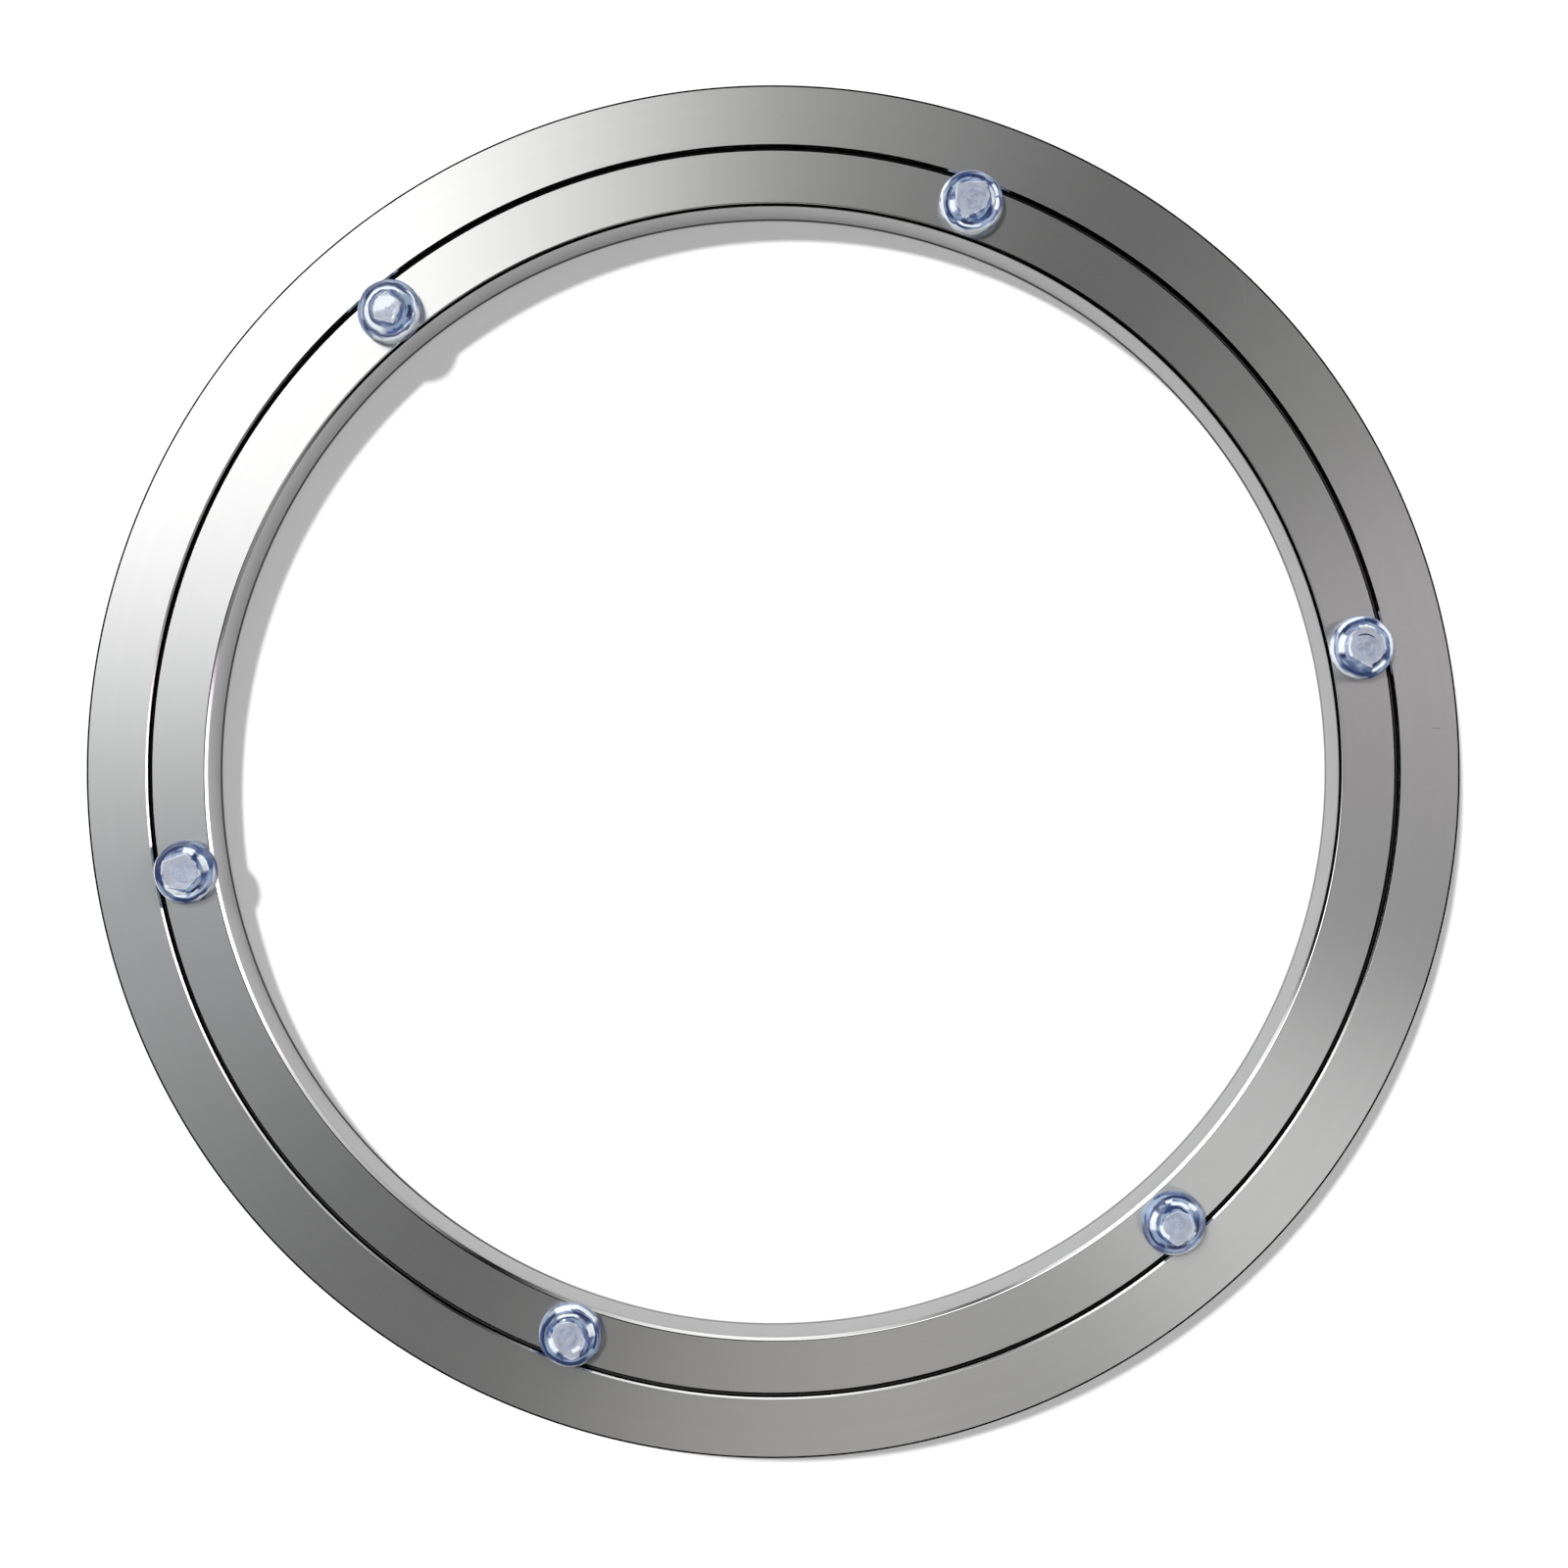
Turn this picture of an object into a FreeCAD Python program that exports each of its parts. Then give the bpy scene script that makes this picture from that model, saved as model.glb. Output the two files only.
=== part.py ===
import FreeCAD, Part
import math
import os

# A turntable bearing: a flat aluminium ring that turns inside another on one row of steel balls.
# Sizes are in millimetres. The rings' axis is +Z, and z = 0 is the table under the foot pads.

# The two rings
HOLE_DIAMETER = 246.6
INNER_RING_WIDTH = 12.4
RING_GAP = 0.8  # between the walls of the two rings
OUTER_RING_WIDTH = 13.5
INNER_RING_RISE = 0.2  # how far the inner ring stands above the outer one
RACE_LIP = 1.22  # the least height of wall that closes the ball race above and below
GAP_CHAMFER = 0.4  # at both rings' edges on the gap
HOLE_CHAMFER = 0.75  # at the top of the centre hole
RIM_CHAMFER = 0.6  # at the top of the outer rim
BASE_CHAMFER = 0.4  # at the bottom of the centre hole and of the outer rim

# The balls, and the thin ring that keeps them apart
BALL_DIAMETER = 4.0
BALL_COUNT = 36
BALL_PLAY = 0.1  # between a ball and the grooves that it runs in
POCKET_PLAY = 0.08  # between a ball and its pocket in the retainer
RETAINER_THICKNESS = 1.4
RETAINER_RIM = 0.6  # what is left of the retainer above and below its pockets
RETAINER_PLAY = 0.25  # between the retainer and the channel that it runs in

# The clear bumpers on the inner ring
BUMPER_TOP_DIAMETER = 8.0
BUMPER_SHOULDER = 1.2  # from the top's edge out and down to the groove inside the rim
BUMPER_RIM = 1.8  # from the groove out to the widest place
BUMPER_OVERHANG = 1.15  # how far the widest place stands out over the base
BUMPER_BULGE_HEIGHT = 1.3  # of the widest place over the base
BUMPER_HEIGHT = 3.5
# Where each was stuck on by hand: degrees round the ring, and outwards from the middle of its face
BUMPER_PLACES = (
    (11.9, 0.9),
    (70.8, 1.2),
    (129.8, 0.4),
    (189.7, -0.3),
    (250.2, 0.2),
    (311.6, 1.3),
)

# The rubber pads under the outer ring
FOOT_DIAMETER = 9.0
FOOT_THICKNESS = 1.0
FOOT_CHAMFER = 0.25
FOOT_COUNT = 6
FOOT_START_DEG = 30.0

# Which way a ring lies from the gap
INWARDS = -1
OUTWARDS = 1

AXIS = FreeCAD.Vector(0, 0, 1)
CENTRE = FreeCAD.Vector(0, 0, 0)

hole_radius = HOLE_DIAMETER / 2
inner_wall = hole_radius + INNER_RING_WIDTH
outer_wall = inner_wall + RING_GAP
outer_radius = outer_wall + OUTER_RING_WIDTH
race_radius = (inner_wall + outer_wall) / 2

ball_radius = BALL_DIAMETER / 2
pocket_radius = ball_radius + POCKET_PLAY
retainer_half_height = pocket_radius + RETAINER_RIM
channel_half_height = retainer_half_height + RETAINER_PLAY
channel_half_width = RETAINER_THICKNESS / 2 + RETAINER_PLAY

ring_height = 2 * channel_half_height + 2 * RACE_LIP + INNER_RING_RISE
outer_bottom = FOOT_THICKNESS
inner_bottom = outer_bottom + INNER_RING_RISE
inner_top = inner_bottom + ring_height
race_height = (outer_bottom + inner_top) / 2

bumper_top_radius = BUMPER_TOP_DIAMETER / 2
bumper_groove_radius = bumper_top_radius + BUMPER_SHOULDER
bumper_radius = bumper_groove_radius + BUMPER_RIM
bumper_base_radius = bumper_radius - BUMPER_OVERHANG


def at(radius, z):
    """A point of a section, this far from the axis that it is turned about."""
    return FreeCAD.Vector(radius, 0, z)


def lines(points):
    """The straight edges from each point to the next."""
    return [Part.makeLine(a, b) for a, b in zip(points, points[1:])]


def turned(edges):
    """The solid that a closed section sweeps in one turn about the axis."""
    wire = Part.Wire(Part.__sortEdges__(edges))
    return Part.Face(wire).revolve(CENTRE, AXIS, 360)


def placed(shape, degrees, radius, z):
    """A copy of a shape made at the centre, moved out along +X and then round the axis."""
    moved = shape.copy()
    moved.translate(FreeCAD.Vector(radius, 0, z))
    moved.rotate(CENTRE, AXIS, degrees)
    return moved


def ring(side, wall, far_radius, bottom, far_top_chamfer):
    """One ring, whose wall at the gap holds its half of the ball race: a channel for the retainer and,
    half-way up the channel, the round groove that the balls run in."""
    top = bottom + ring_height
    channel = race_radius + side * channel_half_width
    channel_top = race_height + channel_half_height
    channel_bottom = race_height - channel_half_height
    groove_radius = ball_radius + BALL_PLAY
    groove_half_height = math.sqrt(groove_radius**2 - channel_half_width**2)
    groove_top = at(channel, race_height + groove_half_height)
    groove_floor = at(race_radius + side * groove_radius, race_height)
    groove_bottom = at(channel, race_height - groove_half_height)
    groove = Part.Arc(groove_bottom, groove_floor, groove_top).toShape()
    outline = [
        groove_top,
        at(channel, channel_top),
        at(wall, channel_top),
        at(wall, top - GAP_CHAMFER),
        at(wall + side * GAP_CHAMFER, top),
        at(far_radius - side * far_top_chamfer, top),
        at(far_radius, top - far_top_chamfer),
        at(far_radius, bottom + BASE_CHAMFER),
        at(far_radius - side * BASE_CHAMFER, bottom),
        at(wall + side * GAP_CHAMFER, bottom),
        at(wall, bottom + GAP_CHAMFER),
        at(wall, channel_bottom),
        at(channel, channel_bottom),
        groove_bottom,
    ]
    return turned(lines(outline) + [groove])


def ball_angles():
    """Where the balls stand round the race, in degrees."""
    return [360 * i / BALL_COUNT for i in range(BALL_COUNT)]


def ball_retainer():
    """A thin upright ring with a round pocket through it for each ball."""
    foot = at(0, race_height - retainer_half_height)
    height = 2 * retainer_half_height
    outside = Part.makeCylinder(race_radius + RETAINER_THICKNESS / 2, height, foot)
    inside = Part.makeCylinder(race_radius - RETAINER_THICKNESS / 2, height, foot)
    drill_length = 2 * BALL_DIAMETER
    drill = Part.makeCylinder(pocket_radius, drill_length, at(-drill_length / 2, 0), at(1, 0))
    pockets = [placed(drill, degrees, race_radius, race_height) for degrees in ball_angles()]
    return outside.cut(inside).cut(pockets).Solids[0]


def bumper():
    """A squat clear button: a flat top, a shoulder that slopes down to a groove, and a round rim that
    bulges out over the base."""
    # the rim is one arc from the base's edge to the groove, upright at its widest place
    rim_radius = (BUMPER_OVERHANG**2 + BUMPER_BULGE_HEIGHT**2) / (2 * BUMPER_OVERHANG)
    across = BUMPER_RIM - rim_radius
    groove_height = BUMPER_BULGE_HEIGHT + math.sqrt(rim_radius**2 - across**2)
    base_edge = at(bumper_base_radius, 0)
    widest = at(bumper_radius, BUMPER_BULGE_HEIGHT)
    groove = at(bumper_groove_radius, groove_height)
    rim = Part.Arc(base_edge, widest, groove).toShape()
    top_edge = at(bumper_top_radius, BUMPER_HEIGHT)
    rest = [groove, top_edge, at(0, BUMPER_HEIGHT), CENTRE, base_edge]
    return turned(lines(rest) + [rim])


def foot_pad():
    """A thin round pad, flat on top where it is stuck on, with its lower edge bevelled."""
    half_width = FOOT_DIAMETER / 2
    section = [
        CENTRE,
        at(half_width - FOOT_CHAMFER, 0),
        at(half_width, FOOT_CHAMFER),
        at(half_width, FOOT_THICKNESS),
        at(0, FOOT_THICKNESS),
        CENTRE,
    ]
    return turned(lines(section))


def rings():
    """The ring that stands still and the ring that turns inside it."""
    return {
        "outer_ring": ring(OUTWARDS, outer_wall, outer_radius, outer_bottom, RIM_CHAMFER),
        "inner_ring": ring(INWARDS, inner_wall, hole_radius, inner_bottom, HOLE_CHAMFER),
    }


def balls():
    """The steel balls, each in its pocket."""
    ball = Part.makeSphere(ball_radius)
    return {
        f"ball_{number:02d}": placed(ball, degrees, race_radius, race_height)
        for number, degrees in enumerate(ball_angles(), 1)
    }


def bumpers():
    """The bumpers on the inner ring's face, as they were stuck on."""
    face_middle = (hole_radius + HOLE_CHAMFER + inner_wall - GAP_CHAMFER) / 2
    return {
        f"bumper_{number}": placed(bumper(), degrees, face_middle + outwards, inner_top)
        for number, (degrees, outwards) in enumerate(BUMPER_PLACES, 1)
    }


def foot_pads():
    """The pads, spread evenly along the middle of the outer ring's underside."""
    base_middle = (outer_wall + outer_radius) / 2
    return {
        f"foot_pad_{i + 1}": placed(foot_pad(), FOOT_START_DEG + 360 * i / FOOT_COUNT, base_middle, 0)
        for i in range(FOOT_COUNT)
    }


pieces = {"ball_retainer": ball_retainer(), **rings(), **balls(), **bumpers(), **foot_pads()}
os.makedirs("parts", exist_ok=True)
for name, shape in pieces.items():
    shape.exportStep(f"parts/{name}.step")
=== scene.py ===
import math
import random

import bpy
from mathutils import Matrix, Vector


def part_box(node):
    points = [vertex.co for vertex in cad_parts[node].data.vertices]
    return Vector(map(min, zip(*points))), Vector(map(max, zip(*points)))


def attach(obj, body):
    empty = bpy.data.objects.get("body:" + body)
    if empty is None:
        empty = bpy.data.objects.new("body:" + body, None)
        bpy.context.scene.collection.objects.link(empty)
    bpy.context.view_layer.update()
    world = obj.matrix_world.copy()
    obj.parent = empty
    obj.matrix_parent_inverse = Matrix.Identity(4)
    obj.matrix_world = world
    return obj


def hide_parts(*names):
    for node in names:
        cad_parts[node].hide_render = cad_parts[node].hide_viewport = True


# The looks of a turntable bearing: two turned aluminium rings with clear bumpers, and the small parts
# in and under them. Lengths are in metres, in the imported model's frame, whose +Z is the rings' axis.
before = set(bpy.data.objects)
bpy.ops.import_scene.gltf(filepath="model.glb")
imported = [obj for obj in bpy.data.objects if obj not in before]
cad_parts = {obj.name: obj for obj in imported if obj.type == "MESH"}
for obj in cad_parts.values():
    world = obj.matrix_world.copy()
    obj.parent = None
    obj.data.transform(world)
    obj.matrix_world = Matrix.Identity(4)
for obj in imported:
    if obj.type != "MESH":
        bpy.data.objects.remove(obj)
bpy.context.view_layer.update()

# The bevels at the rings' edges, and how much the bevels' own corners are rounded
GAP_CHAMFER = 0.0004
HOLE_CHAMFER = 0.00075
RIM_CHAMFER = 0.0006
BASE_CHAMFER = 0.0004
FINE_ROUNDING = 0.00005
WALL_ROUNDING = 0.00001  # beside the gap's walls
HOLE_ROUNDING = 0.0004
HOLE_WALL_ROUNDING = 0.0006
RIM_ROUNDING = 0.00012

# The clearances in the ball race
RETAINER_PLAY = 0.00025
BALL_PLAY = 0.0001

# How finely curves are divided
RING_SEGMENTS = 720
ROUNDING_STEPS = 5
GROOVE_STEPS = 12
FACET_COLUMNS = 24  # from each corner of a bumper's top to the next
TIER_STEPS = 5
RIM_STEPS = 18
SHARP_DEGREES = 28  # a bumper's edges that bend more than this aren't smoothed

# The dish in a bumper's top, as shares of its reach with the depth there
TOP_DISH = ((0.0, 0.00005), (0.5, 0.00005), (0.8, 0.00003), (0.94, 0.0), (1.0, 0.00002))

# The turned lines on the rings' faces, in waves a metre, and how much of the colour follows the fine ones
FINE_LINES = 9000
BROAD_LINES = 500
FINE_SHARE = 0.6

# Marks on the outer ring's face, each from one end to the other, and how far it reaches to each side
SCRATCH = (Vector((0.1019, 0.1084)), Vector((0.1034, 0.1003)))
SCRATCH_REACH = 0.00022
SCRATCH_COLOUR = (0.95, 0.95, 0.95)
SCRATCH_STRENGTH = 0.55
SCRATCH_DEPTH = 3.0  # times that of the turned lines
NICK = (Vector((0.1434, 0.0095)), Vector((0.1458, 0.0094)))
NICK_REACH = 0.00016
NICK_COLOUR = (0.35, 0.34, 0.36)
NICK_STRENGTH = 0.6

# A bumper's section, outwards: a shoulder in two tiers, a groove, a round rim and a narrower base
RIM_WIDTH = 0.0018
RIM_OVERHANG = 0.00115
RIM_BULGE_HEIGHT = 0.0013
RIDGE_SHARE = 0.69  # of the bumper's radius, where the shoulder's two tiers meet
RIDGE_PLAY = (-0.02, 0.03)  # how much less or more that share may be
RIDGE_HEIGHTS = (0.3, 0.65)  # how far up the shoulder the ridge may be, as shares of its height
RIM_WAVES = {2: 0.00004, 3: 0.00005, 5: 0.00003}  # so many waves round the rim, each of this size
RIM_WAVES_APART = 3  # radians between the waves in the rim's width and those in its height
SEED = 10  # of the random draws, with the bumper's number added

# The adhesive film, in the thin space that is left under a bumper's clear plastic
LIFT = 0.00003
FILM_TOP = 0.8 * LIFT
FILM_BOTTOM = 0.2 * LIFT
FILM_RADIUS = 0.0055

# The clear plastic of a bumper's top, of that top's edge and of the side round it. Its colour runs from low
# to high as the flow runs from start to end, which paints streaks of reflection, dark and light. Clearness
# is how much light it lets through, dull its least roughness, and paler how much paler it gets outwards.
CLEAR_PLASTICS = {
    "top": {
        "low": (0.52, 0.55, 0.68),
        "high": (0.78, 0.8, 0.9),
        "start": 0.34,
        "end": 0.64,
        "clearness": 0.5,
        "dull": 0.14,
        "paler": 0.6,
    },
    "edge": {
        "low": (0.2, 0.24, 0.4),
        "high": (0.95, 0.97, 1.0),
        "start": 0.44,
        "end": 0.5,
        "clearness": 0.3,
        "dull": 0.06,
        "paler": 0.0,
    },
    "side": {
        "low": (0.07, 0.13, 0.36),
        "high": (0.6, 0.76, 1.0),
        "start": 0.42,
        "end": 0.58,
        "clearness": 0.55,
        "dull": 0.03,
        "paler": 0.0,
    },
}
PALER_COLOUR = (0.9, 0.92, 0.99)
PALER_SPAN = (0.15, 0.6)  # the shares of the radius between which it gets paler
CLOUD_COLOUR = (0.84, 0.89, 1.0)
CLOUD_SPAN = (0.4, 0.7)  # the levels of noise at which a cloud starts and is full
CLOUD_STRENGTH = 0.35

# How much the flow round a bumper's middle wanders, as a share of its width, and in how many waves
WANDER = 0.06
WANDER_WAVES = 5.0

# The corners of each bumper's top: degrees round it, and how far out as a share of its radius
TOP_CORNERS = {
    1: ((29, 0.67), (88, 0.71), (132, 0.6), (173, 0.54), (218, 0.52), (286, 0.67), (347, 0.68)),
    2: ((11, 0.54), (52, 0.7), (134, 0.71), (193, 0.55), (247, 0.68), (336, 0.52)),
    3: ((20, 0.48), (95, 0.53), (150, 0.48), (215, 0.52), (290, 0.5)),
    4: ((41, 0.52), (80, 0.61), (151, 0.71), (182, 0.66), (222, 0.68), (282, 0.52), (355, 0.58)),
    5: (
        (34, 0.47),
        (79, 0.52),
        (127, 0.57),
        (184, 0.62),
        (215, 0.63),
        (276, 0.69),
        (298, 0.65),
        (348, 0.5),
    ),
    6: (
        (37, 0.55),
        (84, 0.46),
        (148, 0.44),
        (190, 0.44),
        (240, 0.5),
        (274, 0.64),
        (314, 0.61),
        (354, 0.59),
    ),
}

# A painted mark fades in between these shares of half its length, and of half its width
MARK_ENDS = (1.3, 0.8)
MARK_SIDES = (1.35, 0.7)
# The colours of the painted highlights and of the painted dark reflections
PAINTED_HIGHLIGHT_COLOUR = (0.88, 0.94, 1.0)
PAINTED_DARK_REFLECTION_COLOUR = (0.03, 0.045, 0.125)

# The painted highlights in each bumper, and below them its painted dark reflections: degrees round it, how
# far out, half the length in degrees, half the width. How far out and the width are shares of the bumper's
# radius.
PAINTED_HIGHLIGHTS = {
    1: (
        (171, 0.72, 22, 0.09),
        (180, 0.5, 34, 0.04),
        (215, 0.97, 52, 0.035),
        (20, 0.87, 34, 0.06),
        (309, 0.78, 18, 0.05),
        (120, 0.92, 28, 0.04),
        (85, 0.66, 20, 0.03),
    ),
    2: (
        (196, 0.64, 15, 0.07),
        (9, 0.66, 24, 0.05),
        (24, 0.79, 14, 0.05),
        (352, 0.78, 12, 0.06),
        (205, 0.96, 62, 0.04),
        (300, 0.94, 40, 0.05),
        (262, 0.8, 26, 0.04),
    ),
    3: (
        (121, 0.24, 72, 0.18),
        (110, 0.68, 60, 0.05),
        (215, 0.67, 46, 0.07),
        (310, 0.92, 50, 0.06),
        (265, 0.95, 24, 0.05),
        (20, 0.84, 24, 0.03),
    ),
    4: (
        (77, 0.69, 14, 0.09),
        (25, 0.7, 21, 0.07),
        (246, 0.69, 28, 0.08),
        (330, 0.95, 36, 0.04),
        (200, 0.96, 40, 0.03),
        (300, 0.72, 12, 0.03),
    ),
    5: (
        (104, 0.89, 15, 0.08),
        (62, 0.92, 30, 0.05),
        (17, 0.7, 15, 0.08),
        (205, 0.59, 22, 0.08),
        (300, 0.42, 20, 0.06),
        (265, 0.96, 34, 0.03),
        (95, 0.68, 26, 0.04),
    ),
    6: (
        (45, 0.76, 10, 0.07),
        (77, 0.66, 24, 0.06),
        (106, 0.75, 8, 0.05),
        (211, 0.45, 27, 0.06),
        (325, 0.63, 13, 0.06),
        (170, 0.7, 22, 0.08),
        (300, 0.95, 40, 0.04),
    ),
}
# The painted dark reflections, listed as the painted highlights are
PAINTED_DARK_REFLECTIONS = {
    1: (
        (197, 0.7, 12, 0.07),
        (140, 0.8, 18, 0.06),
        (72, 0.84, 20, 0.04),
        (306, 0.62, 15, 0.05),
        (262, 0.84, 34, 0.05),
        (84, 0.4, 40, 0.02),
    ),
    2: (
        (75, 0.77, 18, 0.05),
        (257, 0.71, 16, 0.05),
        (160, 0.76, 14, 0.06),
        (118, 0.9, 40, 0.03),
        (330, 0.62, 30, 0.02),
        (200, 0.8, 22, 0.04),
    ),
    3: (
        (88, 0.82, 66, 0.05),
        (355, 0.66, 18, 0.05),
        (297, 0.82, 30, 0.05),
        (170, 0.58, 66, 0.03),
        (235, 0.82, 34, 0.04),
    ),
    4: (
        (142, 0.85, 62, 0.09),
        (52, 0.63, 12, 0.06),
        (215, 0.76, 16, 0.05),
        (308, 0.65, 14, 0.06),
        (285, 0.86, 38, 0.04),
    ),
    5: (
        (62, 0.75, 22, 0.07),
        (140, 0.82, 18, 0.06),
        (192, 0.84, 44, 0.05),
        (268, 0.84, 44, 0.06),
        (352, 0.8, 20, 0.05),
        (100, 0.6, 34, 0.02),
    ),
    6: (
        (92, 0.53, 46, 0.03),
        (352, 0.7, 24, 0.05),
        (85, 0.86, 34, 0.04),
        (276, 0.71, 26, 0.06),
        (147, 0.72, 14, 0.06),
        (215, 0.8, 30, 0.04),
    ),
}

# The camera looks straight down, with the top of the picture towards +Y
CAMERA_PLACE = Vector((0.00235, -0.00267, 0.354))
CAMERA_SENSOR = 36.0  # in millimetres, as the lens is
CAMERA_LENS = 36.27
CAMERA_NEAR = 0.01  # what is nearer to the camera than this isn't drawn

# The soft lights overhead: degrees round from +X, degrees down from overhead, the angles at which the
# light starts to fade and ends, its strength and its tint
LIGHTS = {
    "key": (137, 43, 11, 35, 3.14, (1.0, 1.0, 0.99)),
    "west": (182, 23, 5, 20, 0.72, (0.93, 1.0, 1.02)),
    "north_east": (26, 55, 8, 24, 0.66, (1.0, 0.985, 0.93)),
    "north": (88, 62, 8, 26, 1.15, (0.99, 1.0, 0.98)),
    "east": (10, 68, 8, 24, 2.5, (1.0, 0.88, 0.96)),
    "south": (272, 34, 5, 18, 0.76, (1.0, 0.97, 0.92)),
    "south_east": (320, 42, 5, 18, 1.36, (1.0, 1.0, 0.99)),
    "low_south_east": (336, 69, 3, 18, 0.26, (1.0, 1.0, 1.0)),
    "low_north_west": (136, 71, 14, 24, 0.7, (1.0, 1.0, 1.0)),
    "low_north_east": (42, 72, 5, 18, 0.5, (1.0, 1.0, 1.0)),
}

# Degrees above the horizon at which the white behind starts to show in metal and glass, and is full
HORIZON_BAND = (14, 8)

# The lamps that light matt surfaces: degrees round, degrees down from overhead, width in degrees, strength
LAMPS = {
    "key_lamp": (135, 35, 6, 3.0),
    "fill_lamp": (0, 0, 120, 0.6),
}

FLOOR_HALF_WIDTH = 4.0
FLOOR_COLOUR = (0.8, 0.8, 0.8)
# Painted shade: the floor under the rings is painted dark, where little light comes
UNDER_SHADE = 0.0003  # how far under the rings the floor takes to turn dark
FLOOR_PAINTED_SHADE = (0.3, 0.3, 0.3)  # the colour of the floor there, where little light comes
FLOOR_GLOW = 0.27  # what the floor lacks of white under the lamps, for the eye, metal and glass

# Which way a ring lies from the gap, in a section through its right-hand side
LEFT = -1
RIGHT = 1

# A Mix node's sockets for colours: its factor and the two colours, and its result
MIX_INPUTS = (0, 6, 7)
MIX_RESULT = 2

MIDDLE = (0.5, 0.5, 0.5)  # of a piece's box, whose corners are at 0 and 1, and of noise


def reach(name):
    """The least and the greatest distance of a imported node's points from the axis."""
    distances = [point.co.xy.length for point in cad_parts[name].data.vertices]
    return min(distances), max(distances)


def heights(name):
    """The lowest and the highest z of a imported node."""
    low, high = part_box(name)
    return low.z, high.z


def add_object(name, data):
    """A new object in the scene that holds this mesh, lamp or lens."""
    made = bpy.data.objects.new(name, data)
    bpy.context.scene.collection.objects.link(made)
    return made


# Node trees


def fresh_tree(owner):
    """The empty node tree of a material or world."""
    owner.use_nodes = True
    owner.node_tree.nodes.clear()
    return owner.node_tree


def node(tree, kind, feeds=None, **settings):
    """Adds a node. Each feed is a socket to link from, or a constant for that input."""
    made = tree.nodes.new("ShaderNode" + kind)
    for setting, value in settings.items():
        setattr(made, setting, value)
    for name, value in (feeds or {}).items():
        if isinstance(value, bpy.types.NodeSocket):
            tree.links.new(value, made.inputs[name])
        else:
            made.inputs[name].default_value = value
    return made


def math_of(tree, operation, a, b=0.0):
    """The result of a Math node."""
    return node(tree, "Math", {0: a, 1: b}, operation=operation).outputs[0]


def vector_of(tree, operation, *vectors):
    """The vector that a Vector Math node makes of others."""
    return node(tree, "VectorMath", dict(enumerate(vectors)), operation=operation).outputs["Vector"]


def measure_of(tree, operation, *vectors):
    """The number that a Vector Math node makes of vectors."""
    return node(tree, "VectorMath", dict(enumerate(vectors)), operation=operation).outputs["Value"]


def scaled(tree, vector, factor):
    """A vector times a number."""
    return node(tree, "VectorMath", {0: vector, "Scale": factor}, operation="SCALE").outputs["Vector"]


def ramp(tree, value, start, end, low=0.0, high=1.0):
    """A smooth step from low, where value is at start, to high, where it is at end."""
    feeds = {"Value": value, "From Min": start, "From Max": end, "To Min": low, "To Max": high}
    return node(tree, "MapRange", feeds, interpolation_type="SMOOTHSTEP").outputs["Result"]


def spread(tree, value, low, high):
    """A value from 0 to 1 stretched to run from low to high."""
    feeds = {"Value": value, "To Min": low, "To Max": high}
    return node(tree, "MapRange", feeds).outputs["Result"]


def blend_colours(tree, factor, first, second):
    """A colour between two, as a Mix node gives it."""
    made = node(tree, "Mix", data_type="RGBA")
    for place, value in zip(MIX_INPUTS, (factor, first, second)):
        socket = made.inputs[place]
        if isinstance(value, bpy.types.NodeSocket):
            tree.links.new(value, socket)
        else:
            socket.default_value = value if socket.type == "VALUE" else (*value, 1.0)
    return made.outputs[MIX_RESULT]


def own_place(tree):
    """The shaded point in the piece's own frame."""
    return node(tree, "TexCoord").outputs["Object"]


def noise(tree, waves, detail=3.0, stretch=(1, 1, 1)):
    """Three-dimensional noise from 0 to 1 in the piece's own frame, of so many waves a metre."""
    place = vector_of(tree, "MULTIPLY", own_place(tree), tuple(waves * part for part in stretch))
    feeds = {"Vector": place, "Scale": 1.0, "Detail": detail, "Roughness": 0.55}
    return node(tree, "TexNoise", feeds).outputs["Fac"]


def line_noise(tree, value, waves, detail=4.0):
    """Noise from 0 to 1 that changes with one value only, so many waves a metre."""
    feeds = {"W": math_of(tree, "MULTIPLY", value, waves), "Scale": 1.0, "Detail": detail}
    return node(tree, "TexNoise", feeds, noise_dimensions="1D").outputs["Fac"]


def bump(tree, height, strength, depth):
    """The normal that a relief gives. Depth is what a height of 1 stands for, in metres."""
    feeds = {"Height": height, "Strength": strength, "Distance": depth}
    return node(tree, "Bump", feeds).outputs["Normal"]


def material(name, feeds):
    """A material with one principled shader. Its feeds are a function of the tree."""
    made = bpy.data.materials.new(name)
    tree = fresh_tree(made)
    shader = node(tree, "BsdfPrincipled", feeds(tree))
    node(tree, "OutputMaterial", {"Surface": shader.outputs[0]})
    return made


# Finishes of the rings


def round_the_axis(tree):
    """The direction round the rings' axis at the shaded point, along which the tool ran."""
    return node(tree, "Tangent", direction_type="RADIAL", axis="Z").outputs[0]


def from_axis(tree):
    """How far the shaded point is from the rings' axis."""
    return measure_of(tree, "LENGTH", vector_of(tree, "MULTIPLY", own_place(tree), (1, 1, 0)))


def mark_on_face(tree, ends, side_reach):
    """1 along a straight mark that tapers off at both ends, and 0 away from it."""
    start, end = ends
    along = (end - start).normalized()
    middle = (start + end) / 2
    half_length = (end - start).length / 2
    shifted = vector_of(tree, "SUBTRACT", own_place(tree), (*middle, 0))

    def distance(direction):
        """How far the point is from the mark's middle in this direction."""
        return math_of(tree, "ABSOLUTE", measure_of(tree, "DOT_PRODUCT", shifted, (*direction, 0)))

    length_mask = ramp(tree, distance(along), half_length, half_length / 2)
    width_mask = ramp(tree, distance(along.orthogonal()), side_reach, 0.0)
    return math_of(tree, "MULTIPLY", length_mask, width_mask)


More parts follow.
